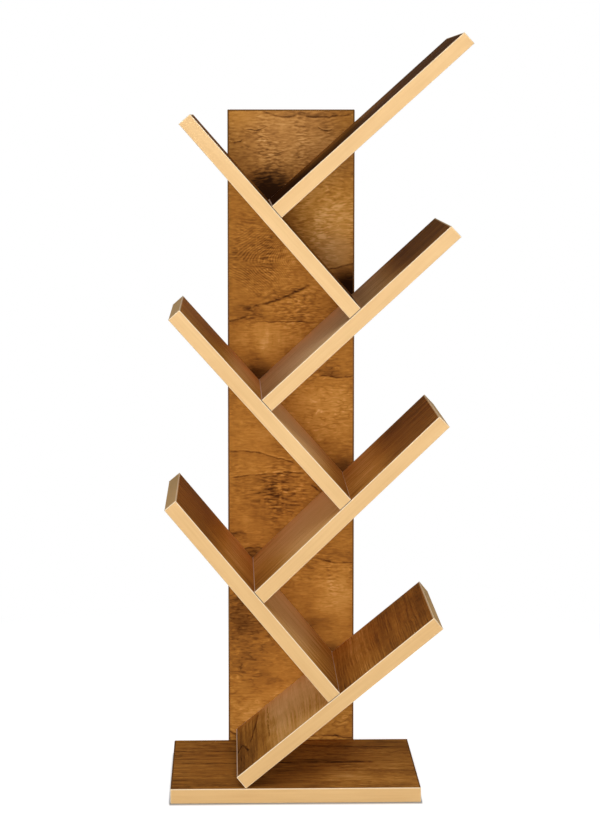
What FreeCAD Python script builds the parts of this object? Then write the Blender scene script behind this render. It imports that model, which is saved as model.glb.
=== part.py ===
"""Tree shaped bookshelf of melamine-faced boards, in millimetres.

An upright trunk board stands behind a short base board. Seven equal shelves lean left and right in
turn up the front of the trunk. Each shelf stands with its foot on the upper face of the shelf below,
so the feet are cut to the angle between the two boards. Every board is a core between four thin edge
bands. Screws with sunk heads come from behind through the trunk into the back edges of the shelves and
of the base, and from underneath through each carrying shelf into the foot that stands on it. The many
small screws and their holes are many-sided instead of round, which keeps them light.

Frame: X to the right, Y from front to back, Z up. The origin is in the middle of the base's underside.
Every shelf has its own frame: X along its slope from left to right, Z square to its upper face, with
the origin at the left end of the upper face, half way between the front and the back.
"""
import FreeCAD, Part
import os
import Sketcher

SIZES = (
    # boards
    ("board_thickness", 18.0),
    ("band_thickness", 2.0),
    ("shelf_depth", 240.0),
    ("shelf_length", 308.0),
    ("base_width", 304.0),
    ("trunk_width", 163.0),
    ("trunk_height", 838.0),
    # where a foot stands, measured down the slope from the tip of the shelf that carries it
    ("fork", 146.0),
    # lower edge of the lowest shelf's foot on the base, from the trunk's centre line
    ("root_offset", -60.5),
    # slope of each shelf, in degrees from level, counted from the top
    ("lean_left_1", 48.7),
    ("lean_left_2", 48.1),
    ("lean_left_3", 50.0),
    ("lean_right_1", 42.1),
    ("lean_right_2", 42.6),
    ("lean_right_3", 43.7),
    ("lean_right_4", 39.2),
    # screws, all alike, with their heads sunk flush
    ("screw_length", 50.0),
    ("screw_width", 5.0),
    ("screw_head_width", 10.0),
    ("screw_head_height", 3.0),
    ("drill_clearance", 0.1),
    # spacing of the screws along a shelf, along the base, and across the depth of a shelf joint
    ("trunk_screw_pitch", 64.0),
    ("base_screw_pitch", 96.0),
    ("joint_screw_pitch", 128.0),
    # pilot holes for a wall anchor, on the trunk's back
    ("anchor_hole_width", 3.0),
    ("anchor_hole_depth", 12.0),
    ("anchor_pitch", 32.0),
    ("anchor_drop", 40.0),
)

LEFT = ("left_1", "left_2", "left_3")
RIGHT = ("right_1", "right_2", "right_3", "right_4")
# each foot with the shelf that carries it, from the base upwards
JOINTS = (
    ("left_3", "right_4"),
    ("right_3", "left_3"),
    ("left_2", "right_3"),
    ("right_2", "left_2"),
    ("left_1", "right_2"),
    ("right_1", "left_1"),
)
# screws and pilot holes come in twos, half their spacing to either side
PAIR = (-0.5, 0.5)
SCREW_SIDES = 12

T = "Sizes.board_thickness"
BAND = "Sizes.band_thickness"
DEPTH = "Sizes.shelf_depth"
LENGTH = "Sizes.shelf_length"
CLEAR = "Sizes.drill_clearance"
BETWEEN_BANDS = f"{DEPTH} - 2 * {BAND}"
TRUNK_BACK = f"{DEPTH} / 2 + {T}"

doc = FreeCAD.newDocument("tree_bookshelf")


def fill_sheet(name, rows):
    """A sheet with one alias and one value or formula in each row."""
    sheet = doc.addObject("Spreadsheet::Sheet", name)
    for row, (alias, value) in enumerate(rows, start=1):
        sheet.set(f"A{row}", alias)
        sheet.set(f"B{row}", str(value))
        sheet.setAlias(f"B{row}", alias)
    doc.recompute()


def layout_rows():
    """Where each shelf begins (x, z), how it is turned, how its foot is cut and where its screws go.

    The lowest shelf stands with the lower edge of its foot on the base. From there each foot is found
    from the shelf that carries it: the upper edge of a foot lies one fork's length from the carrier's tip.
    """
    root = RIGHT[-1]
    rows = [
        (f"{root}_x", f"=Sizes.root_offset - {T} * sin(Sizes.lean_{root})"),
        (f"{root}_z", f"={T} + {T} * cos(Sizes.lean_{root})"),
        (f"{root}_bevel", "0"),
    ]
    for foot, carrier in JOINTS:
        slope, below = f"Sizes.lean_{foot}", f"Sizes.lean_{carrier}"
        rows.append((f"{foot}_bevel", f"={slope} + {below} - 90"))
        # seat: middle of the foot's end, along the carrier
        half_seat = f"{T} / 2 / cos({foot}_bevel)"
        if foot in LEFT:
            reach = f"({LENGTH} - Sizes.fork)"
            rows.append((f"{foot}_x", f"={carrier}_x + {reach} * cos({below}) - {LENGTH} * cos({slope})"))
            rows.append((f"{foot}_z", f"={carrier}_z + {reach} * sin({below}) + {LENGTH} * sin({slope})"))
            rows.append((f"{foot}_seat", f"={reach} - {half_seat}"))
        else:
            rows.append((f"{foot}_x", f"={carrier}_x + Sizes.fork * cos({below})"))
            rows.append((f"{foot}_z", f"={carrier}_z - Sizes.fork * sin({below})"))
            rows.append((f"{foot}_seat", f"=Sizes.fork + {half_seat}"))
    for shelf in LEFT + RIGHT:
        slope = f"Sizes.lean_{shelf}"
        # skew: how far the foot's lower edge stands out past its upper edge
        rows.append((f"{shelf}_skew", f"={T} * tan({shelf}_bevel)"))
        # foot: the foot band's thickness along the slope
        rows.append((f"{shelf}_foot", f"={BAND} / cos({shelf}_bevel)"))
        # hold: middle of the stretch that lies against the trunk
        if shelf in LEFT:
            past_trunk = f"(Sizes.trunk_width / 2 + {shelf}_x) / cos({slope})"
            rows.append((f"{shelf}_turn", f"={slope}"))
            rows.append((f"{shelf}_hold", f"=({LENGTH} - {past_trunk}) / 2"))
        else:
            on_trunk = f"(Sizes.trunk_width / 2 - {shelf}_x) / cos({slope})"
            rows.append((f"{shelf}_turn", f"=-{slope}"))
            rows.append((f"{shelf}_hold", f"={on_trunk} / 2"))
    return rows


def at(x, y, z, turn_about_x=0):
    """A placement by three expressions, turned about X."""
    return f"placement(vector({x}; {y}; {z}); rotation(vector(1; 0; 0); {turn_about_x}))"


def shelf_frame(shelf):
    """The placement of a shelf's own frame."""
    place = f"Layout.{shelf}"
    return f"placement(vector({place}_x; 0; {place}_z); rotation(vector(0; 1; 0); {place}_turn))"


def outline_sketch(body, points):
    """A closed outline on the body's XZ plane, each corner held by two expressions."""
    plane = next(feature for feature in body.Origin.OriginFeatures if feature.Role == "XZ_Plane")
    sketch = body.newObject("Sketcher::SketchObject", f"{body.Name}_outline")
    sketch.AttachmentSupport = [(plane, "")]
    sketch.MapMode = "FlatFace"
    values = [[float(sketch.evalExpression(part)) for part in point] for point in points]
    corners = [FreeCAD.Vector(x, z, 0) for x, z in values]
    count = len(corners)
    for index in range(count):
        sketch.addGeometry(Part.LineSegment(corners[index], corners[(index + 1) % count]), False)
    for index in range(count):
        sketch.addConstraint(Sketcher.Constraint("Coincident", index, 2, (index + 1) % count, 1))
    for index, point in enumerate(points):
        for kind, value, expression in zip(("DistanceX", "DistanceY"), values[index], point):
            held = sketch.addConstraint(Sketcher.Constraint(kind, -1, 1, index, 1, value))
            sketch.setExpression(f"Constraints[{held}]", expression)
    return sketch


def board_piece(label, frame, ends, skews, depth, front=None):
    """A piece of a shelf: an outline in the shelf's XZ plane, padded along Y.

    ends gives the left and right end on the upper face, skews how far the lower face passes them.
    Without front the piece lies half before and half behind the frame, otherwise it starts at front.
    """
    left, right = ends
    left_skew, right_skew = skews
    body = doc.addObject("PartDesign::Body", label)
    sketch = outline_sketch(body, [
        (left, "0"),
        (right, "0"),
        (f"{right} + {right_skew}", f"-{T}"),
        (f"{left} + {left_skew}", f"-{T}"),
    ])
    pad = body.newObject("PartDesign::Pad", f"{label}_pad")
    pad.Profile = sketch
    pad.setExpression("Length", depth)
    if front is None:
        pad.SideType = "Symmetric"
    else:
        # the plane's normal, and so the pad, points to the front
        sketch.setExpression("AttachmentOffset.Base.z", f"-({front}) - ({depth})")
    body.setExpression("Placement", frame)
    return body


def box(label, corner, sides):
    """A plain strip or board by its lowest corner and its three sides."""
    block = doc.addObject("Part::Box", label)
    for name, side in zip(("Length", "Width", "Height"), sides):
        block.setExpression(name, side)
    block.setExpression("Placement", at(*corner))
    return block


def prism(label, width, play, height):
    """A many-sided bar along Z from the origin, with play all round."""
    bar = doc.addObject("Part::Prism", label)
    bar.Polygon = SCREW_SIDES
    bar.setExpression("Circumradius", f"{width} / 2 + {play}")
    bar.setExpression("Height", height)
    return bar


def screw_form(label, play):
    """A screw along Z with its head's top at z = 0, or the cutter for its stepped hole with play."""
    form = doc.addObject("Part::Fuse", label)
    form.Base = prism(f"{label}_head", "Sizes.screw_head_width", play, "Sizes.screw_head_height")
    form.Tool = prism(f"{label}_stem", "Sizes.screw_width", play, f"Sizes.screw_length + {play}")
    return form


def anchor_hole_form():
    """The cutter for a wall anchor's pilot hole, along Z from the origin."""
    hole = doc.addObject("Part::Cylinder", "anchor_hole")
    hole.setExpression("Radius", "Sizes.anchor_hole_width / 2")
    hole.setExpression("Height", "Sizes.anchor_hole_depth")
    return hole


def copies(label, master, places):
    """Copies of one piece as a single group of separate solids."""
    links = []
    for number, place in enumerate(places, start=1):
        link = doc.addObject("App::Link", f"{label}_{number}")
        link.LinkedObject = master
        link.setExpression("Placement", place)
        links.append(link)
    group = doc.addObject("Part::Compound", label)
    group.Links = links
    return group


def drilled(blank, cutters):
    """A blank less all its holes at once. The blank's label passes to the drilled piece."""
    label = blank.Label
    blank.Label = f"{label}_blank"
    holes = doc.addObject("Part::Compound", f"{label}_holes")
    holes.Links = cutters
    cut = doc.addObject("Part::Cut", f"{label}_drilled")
    cut.Base = blank
    cut.Tool = holes
    cut.Label = label
    return cut


def trunk_screw_places(shelf):
    """Two screws from behind the trunk into the back edge of a shelf."""
    steps = [f"Layout.{shelf}_hold + {share} * Sizes.trunk_screw_pitch" for share in PAIR]
    return [f"{shelf_frame(shelf)} * {at(step, TRUNK_BACK, f'-{T} / 2', 90)}" for step in steps]


def base_screw_places():
    """Two screws from behind the trunk into the back edge of the base."""
    return [at(f"{share} * Sizes.base_screw_pitch", TRUNK_BACK, f"{T} / 2", 90) for share in PAIR]


def joint_screw_places(foot, carrier):
    """Two screws from underneath a carrying shelf into the foot that stands on it."""
    steps = [f"{share} * Sizes.joint_screw_pitch" for share in PAIR]
    return [f"{shelf_frame(carrier)} * {at(f'Layout.{foot}_seat', step, f'-{T}')}" for step in steps]


def anchor_places():
    """Two pilot holes side by side near the top of the trunk's back."""
    height = "Sizes.trunk_height - Sizes.anchor_drop"
    return [at(f"{share} * Sizes.anchor_pitch", TRUNK_BACK, height, 90) for share in PAIR]


def all_trunk_screw_places():
    places = base_screw_places()
    for shelf in LEFT + RIGHT:
        places += trunk_screw_places(shelf)
    return places


def all_joint_screw_places():
    return [place for pair in JOINTS for place in joint_screw_places(*pair)]


def make_trunk(screw_hole):
    """The trunk: a core between four edge bands, drilled from behind for the shelves and the base."""
    left, front = "-Sizes.trunk_width / 2", f"{DEPTH} / 2"
    right = f"Sizes.trunk_width / 2 - {BAND}"
    inner_left, top = f"{left} + {BAND}", f"Sizes.trunk_height - {BAND}"
    inner_width = f"Sizes.trunk_width - 2 * {BAND}"
    upright = (BAND, T, "Sizes.trunk_height")
    core = box("trunk_core", (inner_left, front, BAND), (inner_width, T, f"{top} - {BAND}"))
    holes = [
        copies("trunk_screw_holes", screw_hole, all_trunk_screw_places()),
        copies("trunk_anchor_holes", anchor_hole_form(), anchor_places()),
    ]
    return [
        drilled(core, holes),
        box("trunk_left_band", (left, front, "0"), upright),
        box("trunk_right_band", (right, front, "0"), upright),
        box("trunk_top_band", (inner_left, front, top), (inner_width, T, BAND)),
        box("trunk_lower_band", (inner_left, front, "0"), (inner_width, T, BAND)),
    ]


def make_base(screw_hole):
    """The base: a core between four edge bands, drilled for the screws in its back edge."""
    left, front = "-Sizes.base_width / 2", f"-{DEPTH} / 2"
    right, back = f"Sizes.base_width / 2 - {BAND}", f"{DEPTH} / 2 - {BAND}"
    inner_left, inner_front = f"{left} + {BAND}", f"{front} + {BAND}"
    across = ("Sizes.base_width", BAND, T)
    end = (BAND, BETWEEN_BANDS, T)
    inside = (f"Sizes.base_width - 2 * {BAND}", BETWEEN_BANDS, T)
    core = box("base_core", (inner_left, inner_front, "0"), inside)
    back_band = box("base_back_band", (left, back, "0"), across)
    holes = [copies("base_screw_holes", screw_hole, base_screw_places())]
    return [
        drilled(core, holes),
        box("base_front_band", (left, front, "0"), across),
        drilled(back_band, holes),
        box("base_left_band", (left, inner_front, "0"), end),
        box("base_right_band", (right, inner_front, "0"), end),
    ]


def make_shelf(shelf, screw_hole):
    """A shelf: a core between four edge bands, drilled in its back edge, foot and middle for its screws."""
    side, number = shelf.split("_")
    name = f"{side}_shelf_{number}"
    frame = shelf_frame(shelf)
    skew, foot_band = f"Layout.{shelf}_skew", f"Layout.{shelf}_foot"
    if shelf in LEFT:
        skews = ("0", skew)
        foot_skews = (skew, skew)
        tip_ends = ("0", BAND)
        core_ends = (BAND, f"{LENGTH} - {foot_band}")
        foot_ends = (f"{LENGTH} - {foot_band}", LENGTH)
    else:
        skews = (f"-{skew}", "0")
        foot_skews = (f"-{skew}", f"-{skew}")
        tip_ends = (f"{LENGTH} - {BAND}", LENGTH)
        core_ends = (foot_band, f"{LENGTH} - {BAND}")
        foot_ends = ("0", foot_band)
    ends = ("0", LENGTH)
    core = board_piece(f"{name}_core", frame, core_ends, skews, BETWEEN_BANDS)
    front = board_piece(f"{name}_front_band", frame, ends, skews, BAND, f"-{DEPTH} / 2")
    back = board_piece(f"{name}_back_band", frame, ends, skews, BAND, f"{DEPTH} / 2 - {BAND}")
    tip = board_piece(f"{name}_tip_band", frame, tip_ends, ("0", "0"), BETWEEN_BANDS)
    foot = board_piece(f"{name}_foot_band", frame, foot_ends, foot_skews, BETWEEN_BANDS)

    back_holes = copies(f"{name}_back_holes", screw_hole, trunk_screw_places(shelf))
    core_holes = [back_holes]
    back = drilled(back, [back_holes])
    for standing, carrier in JOINTS:
        if shelf in (standing, carrier):
            holes = copies(f"{name}_{standing}_holes", screw_hole, joint_screw_places(standing, carrier))
            core_holes.append(holes)
            if shelf == standing:
                foot = drilled(foot, [holes])
    return [drilled(core, core_holes), front, back, tip, foot]


def make_screws():
    """The screws, one group behind the trunk and one under the shelves."""
    screw = screw_form("screw", "0")
    return [
        copies("trunk_screws", screw, all_trunk_screw_places()),
        copies("shelf_screws", screw, all_joint_screw_places()),
    ]


def check(parts):
    """Stop if any object failed, or a piece is empty or not valid."""
    for item in doc.Objects:
        if "Invalid" in item.State or "Error" in item.State:
            raise RuntimeError(f"{item.Label} did not compute: {item.State}")
    for piece in parts:
        if piece.Shape.isNull() or not piece.Shape.isValid() or not piece.Shape.Solids:
            raise RuntimeError(f"{piece.Label} is not a valid solid")


def main():
    fill_sheet("Sizes", SIZES)
    fill_sheet("Layout", layout_rows())
    screw_hole = screw_form("screw_hole", CLEAR)
    parts = make_trunk(screw_hole) + make_base(screw_hole)
    for shelf in LEFT + RIGHT:
        parts += make_shelf(shelf, screw_hole)
    parts += make_screws()
    doc.recompute()
    check(parts)
    os.makedirs("parts", exist_ok=True)
    for piece in parts:
        piece.Shape.exportStep(f"parts/{piece.Label}.step")


main()
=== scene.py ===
"""Looks of the tree shaped bookshelf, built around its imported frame.

Metres, X to the right, Y to the back, Z up. The drilled board cores keep their solids and get a printed
wood finish that follows each board. Every edge band is made again with rounded rims, and the screws are
made again as turned screws with a six-sided socket.
"""
import collections
import functools
import itertools
import math

import bpy
import numpy as np
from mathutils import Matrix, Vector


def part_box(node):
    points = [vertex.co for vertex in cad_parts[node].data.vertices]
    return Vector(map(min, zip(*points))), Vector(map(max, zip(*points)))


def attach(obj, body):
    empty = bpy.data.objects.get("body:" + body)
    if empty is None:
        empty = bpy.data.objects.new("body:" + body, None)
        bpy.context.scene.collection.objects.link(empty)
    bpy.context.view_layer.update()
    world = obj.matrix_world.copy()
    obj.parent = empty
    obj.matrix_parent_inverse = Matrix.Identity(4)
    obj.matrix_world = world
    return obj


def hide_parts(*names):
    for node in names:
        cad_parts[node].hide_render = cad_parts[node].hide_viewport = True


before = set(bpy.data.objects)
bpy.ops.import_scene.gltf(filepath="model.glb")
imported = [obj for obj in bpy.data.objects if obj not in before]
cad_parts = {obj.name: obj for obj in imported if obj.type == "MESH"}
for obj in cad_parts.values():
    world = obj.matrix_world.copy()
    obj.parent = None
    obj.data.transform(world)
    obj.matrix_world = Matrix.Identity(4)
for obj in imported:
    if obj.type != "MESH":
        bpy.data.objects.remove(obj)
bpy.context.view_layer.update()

MM = 0.001
BOARD_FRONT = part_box("base_core")[0].y
LEFT_SHELVES = ("left_shelf_1", "left_shelf_2", "left_shelf_3")
RIGHT_SHELVES = ("right_shelf_1", "right_shelf_2", "right_shelf_3", "right_shelf_4")
SHELVES = LEFT_SHELVES + RIGHT_SHELVES
LOWEST_SHELF = RIGHT_SHELVES[-1]
# from the top down, each shelf stands on the next
SHELF_CHAIN = (*itertools.chain(*zip(RIGHT_SHELVES, LEFT_SHELVES)), LOWEST_SHELF)
X_AXIS, Y_AXIS, Z_AXIS = np.eye(3)

# camera at the photograph's viewing angle, and its frame in pixels
CAMERA_PLACE = (-0.0786, -3.102, 0.8305)
CAMERA_TURN = (85.113, -0.02, -1.6)
FOCAL_PIXELS = 2511.0
AXIS_PIXEL = (300.0, 330.0)
FRAME_PIXELS = (600.0, 840.0)
SENSOR_WIDTH = 36.0

# edge bands: rounding of the outer rim and of the hidden inner rim, and steps in each rounding
OUTER_RIM = 1.2 * MM
INNER_RIM = 0.08 * MM
RIM_STEPS = 5
# how fast the rim's paler colour and the seam set in over the rounding, and the lower rims' share of it.
# The rim's paler colour is trimmed plastic and partly a painted highlight, weaker on the lower rims,
# where less light falls; the dark seam is partly painted shade.
RIM_HIGHLIGHT_RISE = 8.0
SEAM_SHADE_RISE = 2.5
LOWER_RIM_HIGHLIGHT = 0.4
# step from one band's stretch of plastic to the next one's
STRIP_STEP = 0.83

# screws: points round a screw, and its profile as (radius, height below the head's top, six-sided share)
SCREW_POINTS = 48
SCREW_PROFILE = (
    (1.0 * MM, -2.5 * MM, 0.0),
    (1.95 * MM, -2.3 * MM, 1.0),
    (2.0 * MM, -0.3 * MM, 1.0),
    (2.25 * MM, -0.02 * MM, 1.0),
    (4.45 * MM, 0.0, 0.0),
    (4.75 * MM, -0.12 * MM, 0.0),
    (4.85 * MM, -0.4 * MM, 0.0),
    (4.85 * MM, -2.9 * MM, 0.0),
    (2.45 * MM, -2.95 * MM, 0.0),
    (2.45 * MM, -47.0 * MM, 0.0),
    (1.4 * MM, -49.8 * MM, 0.0),
)
# rings inside the socket, and the depth of its middle under the lowest ring
SOCKET_RINGS = 3
SOCKET_POINT = 0.3 * MM
# head corners this near belong to one head, and lie this close to its board's face
HEAD_REACH = 12.0 * MM
SEAT_TOLERANCE = 0.02 * MM
SHARP_ANGLE = math.radians(35.0)

# relief of the printed and plastic surfaces, and their sheen, low enough to leave no veil at a flat angle
RELIEF = 0.05 * MM
SHEEN = 0.001
WHITE = (1.0, 1.0, 1.0, 1.0)

# colours of the print, from a dark crack to the palest fleck, and the grey tan of its weathered places
PRINT_TONES = (
    (0.000, (0.036, 0.0130, 0.0050)),
    (0.146, (0.112, 0.0400, 0.0085)),
    (0.257, (0.205, 0.0780, 0.0165)),
    (0.334, (0.290, 0.1150, 0.0225)),
    (0.411, (0.380, 0.1540, 0.0280)),
    (0.497, (0.480, 0.2070, 0.0380)),
    (0.600, (0.600, 0.2850, 0.0640)),
    (0.703, (0.740, 0.3950, 0.1300)),
    (0.857, (0.860, 0.5000, 0.2000)),
    (1.000, (0.960, 0.6000, 0.2700)),
)
WEATHERED_TONES = (
    (0.000, (0.050, 0.0260, 0.0120)),
    (0.300, (0.220, 0.1250, 0.0600)),
    (0.497, (0.440, 0.2750, 0.1550)),
    (0.720, (0.620, 0.4100, 0.2500)),
    (1.000, (0.900, 0.6200, 0.3600)),
)
# share of these ramps that a tone of 1 takes, the plain print's tone, and how much a weathered place greys
TONE_SCALE = 0.60
BASE_TONE = 0.77
WEATHERED_SHARE = 0.20

# noise patterns: cells in a metre along, across and through the grain, detail and roughness. Lines have one
# cell along for each of their dashes.
PATTERNS = {
    "broad": ((4.0, 10.0, 10.0), 2.0, 0.55),
    "streak": ((3.5, 70.0, 40.0), 5.0, 0.60),
    "mottle": ((24.0, 34.0, 30.0), 6.0, 0.66),
    "fibre": ((60.0, 640.0, 400.0), 3.0, 0.60),
    "column": ((34.0, 6.0, 20.0), 2.0, 0.55),
    "hair": ((24.0, 230.0, 150.0), 4.0, 0.70),
    "line": ((1.0, 400.0, 150.0), 1.5, 0.55),
    "tick": ((62.0, 165.0, 110.0), 1.5, 0.55),
    "tick_break": ((80.0, 105.0, 60.0), 1.0, 0.55),
    "tick_place": ((9.0, 14.0, 10.0), 1.0, 0.55),
    "crack_break": ((70.0, 25.0, 1.0), 3.0, 0.55),
    "curl_break": ((45.0, 60.0, 0.0), 1.0, 0.55),
    "flare": ((300.0, 75.0, 0.0), 1.0, 0.55),
    "flame": ((70.0, 11.0, 0.0), 3.0, 0.55),
    "fleck": ((34.0, 330.0, 0.0), 1.0, 0.55),
    "fleck_gap": ((85.0, 16.0, 0.0), 1.5, 0.55),
    "plastic_cloud": ((9.0, 60.0, 60.0), 3.0, 0.55),
    "plastic_line": ((14.0, 420.0, 300.0), 2.0, 0.60),
    "zinc_stain": ((160.0, 160.0, 160.0), 4.0, 0.55),
    "zinc_scratch": ((2200.0, 2200.0, 2200.0), 2.0, 0.55),
}
# those that make the print paler and darker about its middle tone
CLOUD_LAYERS = ("broad", "streak", "mottle", "fibre", "column")
# cells in a metre of the noise that pushes the grain about, broadly and finely, and the fine push's share
BROAD_WANDER = (5.0, 13.0, 13.0)
FINE_WANDER = (40.0, 70.0, 70.0)
FINE_SHARE = 0.15
# the same for cracks, stains, curls and other places: cells in a metre, reach of the push and its detail
CRACK_WANDER = ((55.0, 30.0, 1.0), 7.0 * MM, 4.0)
STAIN_WANDER = ((30.0, 60.0, 1.0), 35.0 * MM, 5.0)
CURL_WANDER = ((22.0, 26.0, 1.0), 14.0 * MM, 3.0)
PLACE_WANDER = ((14.0, 14.0, 1.0), 50.0 * MM, 4.0)
# each board's grain: how far it wanders in metres, how strongly its layers, ticks and lines show, and the
# dashes in a metre of its lines
Grain = collections.namedtuple("Grain", "wander broad streak mottle fibre column hair ticks lines dash")
TRUNK_GRAIN = Grain(0.022, 0.34, 0.12, 0.38, 0.34, 0.18, 0.03, 0.20, 0.060, 110.0)
BASE_GRAIN = Grain(0.014, 0.30, 0.46, 0.30, 0.34, 0.00, 0.17, 0.16, 0.140, 26.0)
SHELF_GRAIN = Grain(0.008, 0.28, 0.50, 0.14, 0.32, 0.00, 0.20, 0.03, 0.140, 7.0)
ACROSS_GRAIN = Grain(0.012, 0.46, 0.44, 0.26, 0.32, 0.00, 0.08, 0.03, 0.140, 4.0)
# turn of the wave that draws the crackle's ticks over the range of its noise
TICK_WAVE = 17.0

# cracks on a board's face in millimetres: start, end, rise of the middle over the chord, width, and how far
# the print is darkened beneath the crack, or above it where negative
TRUNK_CRACKS = (
    ((-42, 838), (10, 831), -5, 1.9, -16),
    ((4, 833), (84, 835), -6, 1.9, -12),
    ((-60, 812), (-30, 816), -2, 1.1, 4),
    ((-84, 797), (-62, 798), -1, 1.1, 4),
    ((32, 817), (54, 813), -3, 1.0, 3),
    ((-84, 566), (-55, 574), -1, 2.0, 8),
    ((-66, 581), (30, 617), -5, 2.8, -8),
    ((-50, 566), (32, 564), 1, 1.2, -12),
    ((46, 633), (84, 642), 0, 1.5, 14),
    ((34, 495), (84, 495), -1, 1.6, -14),
    ((-84, 398), (10, 379), 6, 1.5, 15),
    ((-84, 360), (20, 369), 4, 1.5, 26),
    ((24, 353), (45, 338), 1, 2.0, -8),
    ((-80, 291), (-56, 290), 1, 2.6, 8),
    ((-62, 271), (-34, 269), 2, 1.5, 3),
    ((32, 257), (84, 252), -2, 1.7, -12),
    ((-84, 31), (-70, 26), 0, 2.4, 0),
    ((33, 24), (84, 17), 2, 1.6, -4),
)
BASE_CRACKS = (
    ((-150, 4), (-64, 2), 0, 3.0, 14),
    ((-80, 1), (70, 5), 1, 4.0, 16),
    ((36, 5), (106, 4), 1, 7.0, 18),
    ((-150, 62), (-60, 58), 2, 2.5, 6),
    ((30, 84), (140, 78), 3, 2.5, 6),
)
# the lowest shelf's cracks, with the depth first
ROOT_CRACKS = (
    ((-68, 52), (124, 53), 0, 1.6, 3),
    ((-14, 22), (116, 38), 1, 2.0, 6),
    ((-24, -2), (14, 11), 0, 2.2, 4),
    ((-42, 20), (14, 10), 1, 2.0, 4),
    ((-120, 150), (120, 128), 3, 1.6, 4),
)
# how dark a crack is, the shares of that in its shaded side and its pale rim, and the length of its tapers
CRACK_DARKNESS = 0.38
CRACK_SHADE = 0.30
CRACK_RIM = 0.22
CRACK_TAPER = 0.15

# stains on a board's face in millimetres: middle, reach, and how much darker, or paler where negative
# on the trunk the paler stains are partly painted light, where the shelves shade it
TRUNK_STAINS_AND_PAINTED_LIGHT = (
    ((18, 836), (80, 8), 0.14),
    ((-58, 778), (24, 24), 0.06),
    ((20, 775), (36, 24), 0.04),
    ((34, 823), (60, 14), 0.08),
    ((0, 790), (130, 80), -0.05),
    ((-54, 578), (34, 14), 0.16),
    ((-10, 602), (40, 10), 0.10),
    ((-52, 650), (52, 56), 0.17),
    ((66, 622), (26, 16), 0.12),
    ((70, 666), (18, 14), 0.08),
    ((-48, 520), (26, 14), 0.10),
    ((52, 502), (16, 12), 0.14),
    ((-34, 322), (66, 46), 0.10),
    ((-14, 340), (72, 40), 0.16),
    ((52, 345), (24, 26), 0.08),
    ((-66, 288), (24, 12), 0.10),
    ((62, 264), (28, 12), 0.12),
    ((33, 174), (22, 14), 0.16),
    ((-56, 160), (48, 84), 0.12),
    ((-64, 182), (36, 48), 0.24),
    ((-36, 96), (34, 18), 0.14),
    ((8, 653), (18, 26), -0.08),
    ((46, 684), (70, 84), -0.24),
    ((-38, 550), (70, 28), -0.14),
    ((44, 450), (64, 52), -0.20),
    ((-50, 425), (44, 30), -0.08),
    ((-58, 311), (14, 12), -0.12),
    ((60, 208), (40, 60), -0.24),
    ((-56, 52), (36, 26), -0.14),
)
BASE_STAINS = (
    ((0, 0), (600, 600), 0.10),
    ((80, -84), (110, 44), -0.16),
    ((20, 12), (120, 12), 0.16),
    ((70, 30), (75, 24), 0.06),
    ((60, -55), (40, 50), -0.20),
    ((110, 20), (70, 80), -0.16),
    ((120, 95), (40, 24), 0.04),
    ((-100, 60), (60, 30), 0.05),
)
# the lowest shelf's stains, with the depth first
ROOT_STAINS = (
    ((0, 6), (260, 74), 0.46),
    ((0, 120), (260, 70), -0.04),
)
# share of a stain's reach that has its full strength
SPOT_CORE = 0.2

# the trunk's own figure, as middles and reaches in millimetres: places with many dashes, with curled growth
# lines, cross flecks, upright flames and thick crackle, and weathered places
TRUNK_DASHES = (
    ((0, 790), (120, 90)),
    ((-50, 650), (70, 70)),
    ((0, 578), (120, 34)),
    ((-14, 345), (80, 60)),
    ((50, 690), (70, 70)),
    ((40, 240), (60, 40)),
)
TRUNK_CURLS = ((-44, 646), (62, 58))
TRUNK_FLECKS = ((-20, 340), (70, 40))
TRUNK_FLAMES = (
    ((-25, 543), (70, 34)),
    ((34, 688), (22, 36)),
    ((-6, 648), (16, 24)),
    ((-30, 470), (60, 40)),
)
TRUNK_CRACKLE = (
    ((-36, 800), (60, 44)),
    ((-45, 150), (60, 70)),
    ((-40, 96), (56, 50)),
)
TRUNK_WEATHERED = (
    ((0, 800), (120, 90)),
    ((60, 650), (40, 40)),
)
# how much darker each makes the print, or paler where negative, with pale flares between the curls
FIGURE_WEIGHTS = {
    "dashes": 0.15,
    "curls": 0.17,
    "flares": -0.16,
    "flecks": 0.19,
    "flames": -0.18,
    "crackle": 0.04,
}
# growth lines: how blunt their arches are, how fast they open, and their spacing
ARCH_TIP = 6.0 * MM
ARCH_SPREAD = 75.0 * MM
ARCH_SPACING = 3.5 * MM
# how far the figure is moved on, on the trunk's far side, as a share of the trunk's height
FAR_SHIFT = 0.51

# how far in millimetres, and how much, the trunk is darkened over each shelf's foot, where little light
# comes in, and the softness of the shade's edges along the boards
TRUNK_POCKETS = {
    "right_shelf_1": (54, 0.95),
    "left_shelf_1": (46, 0.80),
    "right_shelf_2": (34, 0.60),
    "left_shelf_2": (28, 0.42),
    "right_shelf_3": (22, 0.34),
    "left_shelf_3": (18, 0.28),
}
POCKET_SOFTNESS = 9.0 * MM

# each shelf's print: how much paler it is at the tip and at the foot, how weathered the foot is, and how
# much painted shade its corner has. The tip's and foot's tones are painted light too: darker tips away
# from the trunk, paler feet before it, and the highest shelves darkest.
ShelfToneAndLight = collections.namedtuple("ShelfToneAndLight", "tip foot weathered shade")
SHELF_TONES_AND_LIGHT = {
    "left_shelf_1": ShelfToneAndLight(-0.30, 0.05, 0.0, 0.50),
    "left_shelf_2": ShelfToneAndLight(0.00, 0.90, 0.0, 0.84),
    "left_shelf_3": ShelfToneAndLight(-0.18, 0.68, 0.0, 0.64),
    "right_shelf_1": ShelfToneAndLight(-0.56, -0.40, 0.0, 0.50),
    "right_shelf_2": ShelfToneAndLight(-0.28, 0.86, 2.6, 0.62),
    "right_shelf_3": ShelfToneAndLight(-0.20, 0.76, 0.0, 0.60),
    "right_shelf_4": ShelfToneAndLight(-0.16, 0.54, 0.0, 0.30),
}
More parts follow.
